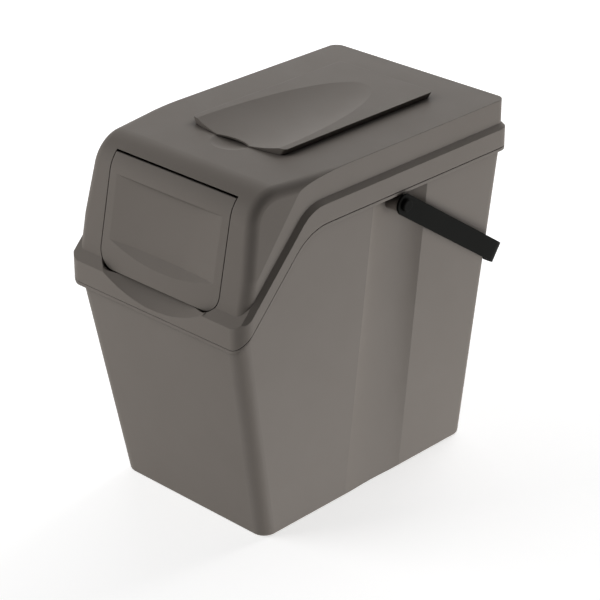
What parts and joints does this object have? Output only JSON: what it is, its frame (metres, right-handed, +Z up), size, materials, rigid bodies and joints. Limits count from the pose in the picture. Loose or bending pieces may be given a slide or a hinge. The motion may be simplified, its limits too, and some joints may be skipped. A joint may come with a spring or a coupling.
{
  "type": "recycling bin",
  "caption": "Tapered household recycling bin with a lift-off lid, a sloping front flap, a raised top flap and a U-shaped carrying handle.",
  "frame": {"origin": "centre of the flat underside of the tub, on the floor", "axes": "+X across the front to the right, -Y out of the front flap, +Y to the rear, +Z up"},
  "size_m": [0.2624, 0.392, 0.389],
  "materials": {
    "grey_plastic": "matte",
    "black_plastic": "satin"
  },
  "bodies": {
    "bin": {"bin_body": "grey_plastic", "handle_stud_left": "black_plastic", "handle_stud_right": "black_plastic"},
    "lid": {"lid": "grey_plastic", "front_flap_pin_left": "grey_plastic", "front_flap_pin_right": "grey_plastic", "top_flap_pin_left": "grey_plastic", "top_flap_pin_right": "grey_plastic"},
    "front_flap": {"front_flap": "grey_plastic"},
    "top_flap": {"top_flap": "grey_plastic"},
    "handle": {"handle": "black_plastic"}
  },
  "joints": [
    {"name": "lid_lift", "type": "slide", "parent": "bin", "child": "lid", "axis": [0, 0, 1], "range_m": [0, 0.04]},
    {"name": "front_flap_hinge", "type": "hinge", "parent": "lid", "child": "front_flap", "pos_m": [0, -0.16449, 0.36452], "axis": [-1, 0, 0], "range_deg": [0, 95]},
    {"name": "top_flap_hinge", "type": "hinge", "parent": "lid", "child": "top_flap", "pos_m": [0, 0.132, 0.385], "axis": [-1, 0, 0], "range_deg": [0, 95]},
    {"name": "handle_pivot", "type": "hinge", "parent": "bin", "child": "handle", "pos_m": [0, 0.0227, 0.3177], "axis": [1, 0, 0], "range_deg": [0, 124.5]}
  ]
}
